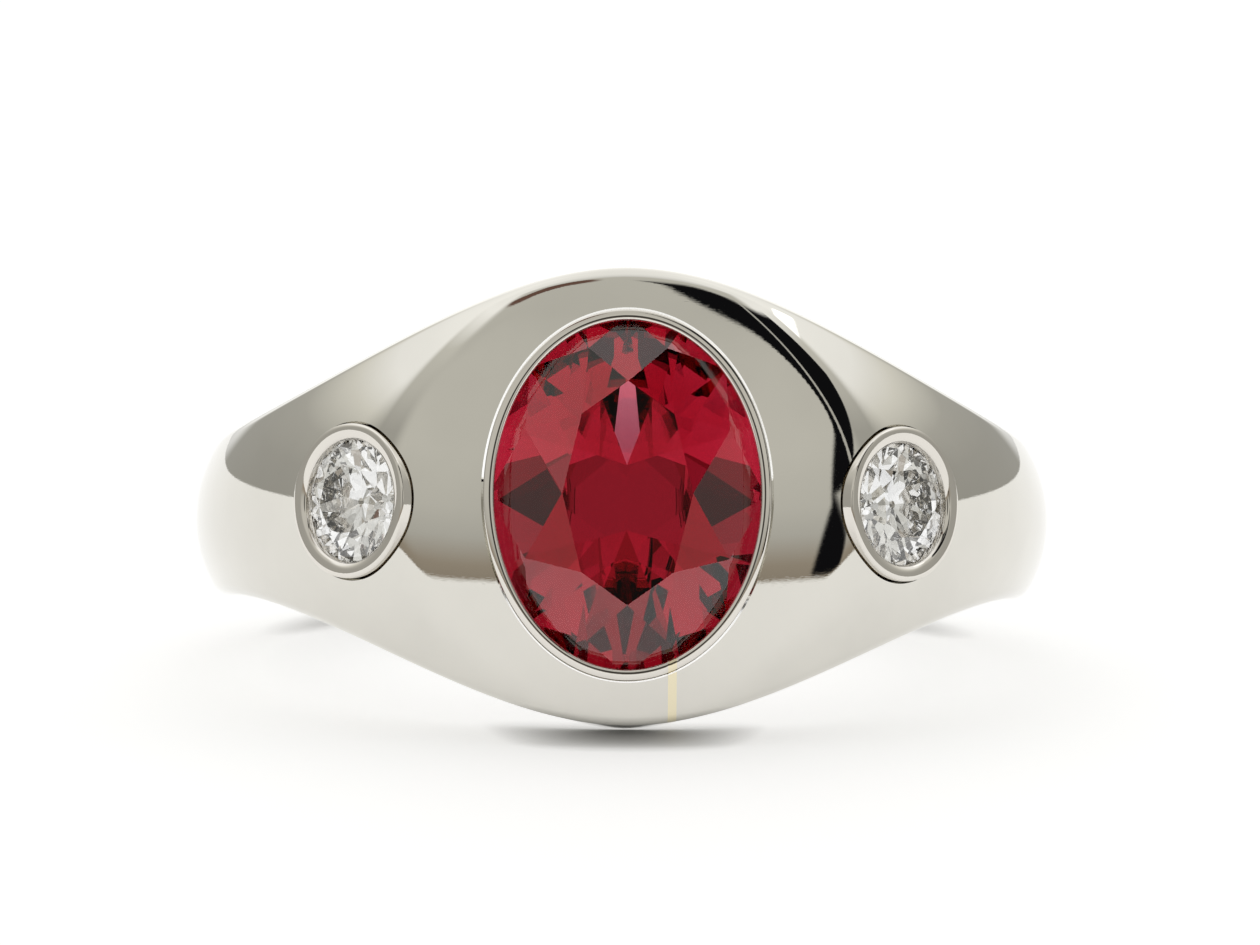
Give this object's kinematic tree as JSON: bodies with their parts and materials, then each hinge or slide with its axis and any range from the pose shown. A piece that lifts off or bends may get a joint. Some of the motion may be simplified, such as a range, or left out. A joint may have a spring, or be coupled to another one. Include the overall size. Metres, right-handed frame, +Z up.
{
  "type": "cocktail ring",
  "caption": "Gypsy-set cocktail ring: tapering shank, domed head, oval faceted stone between round stones in rub-over collets.",
  "frame": {"origin": "centre of the finger hole", "axes": "+Z up from the table that the ring rests on, -Y the way the head faces, X across the head; the finger hole's axis leans 11.87 degrees from +Z towards +Y"},
  "size_m": [0.0204, 0.0226, 0.0108],
  "materials": {
    "white_gold": "polished",
    "ruby": "polished",
    "diamond": "polished",
    "solder": "gloss"
  },
  "bodies": {
    "root": {"ring_body": "white_gold", "ruby_collet": "white_gold", "ruby_bearing": "white_gold", "ruby": "ruby", "left_diamond_collet": "white_gold", "left_diamond": "diamond", "right_diamond_collet": "white_gold", "right_diamond": "diamond", "head_solder_seam": "solder", "collet_solder_seam": "solder"}
  },
  "joints": []
}
